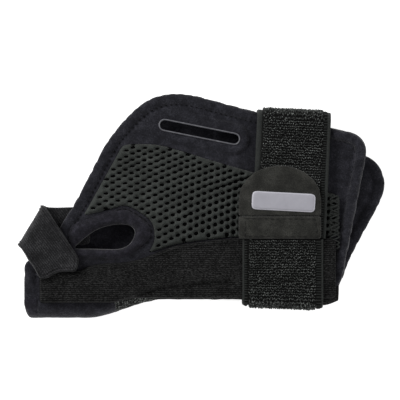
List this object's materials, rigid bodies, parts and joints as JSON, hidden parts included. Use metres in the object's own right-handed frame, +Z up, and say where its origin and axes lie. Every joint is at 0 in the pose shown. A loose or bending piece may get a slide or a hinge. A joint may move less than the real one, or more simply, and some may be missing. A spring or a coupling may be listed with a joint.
{
  "type": "wrist splint",
  "caption": "Soft thumb and wrist splint folded flat, with mesh wings, a pocketed metal stay, a thumb strap and a wrap-round wrist strap with a pull tab.",
  "frame": {"origin": "bottom centre of the folded splint's box, on the surface it lies on", "axes": "+X to the forearm end, -X to the thumb end, +Y to the wings' free edges, -Y to the fold, +Z up through its thickness, towards the tab"},
  "size_m": [0.1974, 0.1203, 0.0237],
  "materials": {
    "nap_fabric": "matte brushed nap",
    "hem_fabric": "matte brushed nap, rolled",
    "lining_fabric": "matte",
    "spacer_mesh": "open knit mesh",
    "knit_fabric": "matte knit",
    "loop_tape": "loop pile",
    "elastic_tape": "ribbed elastic",
    "microfibre": "suede microfibre",
    "hook_tape": "moulded hooks",
    "label_print": "satin",
    "slot_edge": "satin",
    "stay_metal": "brushed"
  },
  "bodies": {
    "root": {"front_wing_cover": "nap_fabric", "front_wing_lining": "lining_fabric", "front_wing_hem": "hem_fabric", "front_mesh_panel": "spacer_mesh", "thumb_hole_surround": "nap_fabric", "slot_rim": "slot_edge", "stay_pocket_backing": "knit_fabric", "stay_pocket_cover": "knit_fabric", "stay_pocket_upper_seam": "knit_fabric", "stay_pocket_lower_seam": "knit_fabric", "stay_pocket_end_seam": "knit_fabric", "fold_spine": "knit_fabric", "back_wing_cover": "nap_fabric", "back_wing_lining": "lining_fabric", "back_wing_hem": "hem_fabric", "back_mesh_panel": "spacer_mesh", "thumb_strap_back": "elastic_tape", "thumb_strap_fold_lower": "elastic_tape", "wrist_strap_upper": "loop_tape", "wrist_strap_top_fold_lower": "loop_tape", "wrist_strap_top_fold_upper": "loop_tape", "wrist_strap_back": "loop_tape", "wrist_strap_fold_lower": "loop_tape"},
    "wrist_strap": {"wrist_strap_fold_upper": "loop_tape", "wrist_strap_front": "loop_tape", "tab_base": "microfibre"},
    "tab": {"tab_tongue": "microfibre", "tab_hook_patch": "hook_tape", "tab_label": "label_print"},
    "thumb_strap": {"thumb_strap_fold_upper": "elastic_tape", "thumb_strap_front": "elastic_tape", "thumb_strap_hook_patch": "hook_tape"},
    "stay": {"stay": "stay_metal"}
  },
  "joints": [
    {"name": "strap_open", "type": "hinge", "parent": "root", "child": "wrist_strap", "pos_m": [0.04395, -0.05675, 0.0112], "axis": [1, 0, 0], "range_deg": [0, 170]},
    {"name": "tab_lift", "type": "hinge", "parent": "wrist_strap", "child": "tab", "pos_m": [0.0423, -0.00505, 0.02295], "axis": [1, 0, 0], "range_deg": [0, 100]},
    {"name": "thumb_strap_open", "type": "hinge", "parent": "root", "child": "thumb_strap", "pos_m": [-0.09278, -0.00962, 0.01705], "axis": [-0.5139, -0.8579, 0], "range_deg": [0, 165]},
    {"name": "stay_slide", "type": "slide", "parent": "root", "child": "stay", "axis": [0.9965, 0.0837, 0], "range_m": [0, 0.16]}
  ]
}
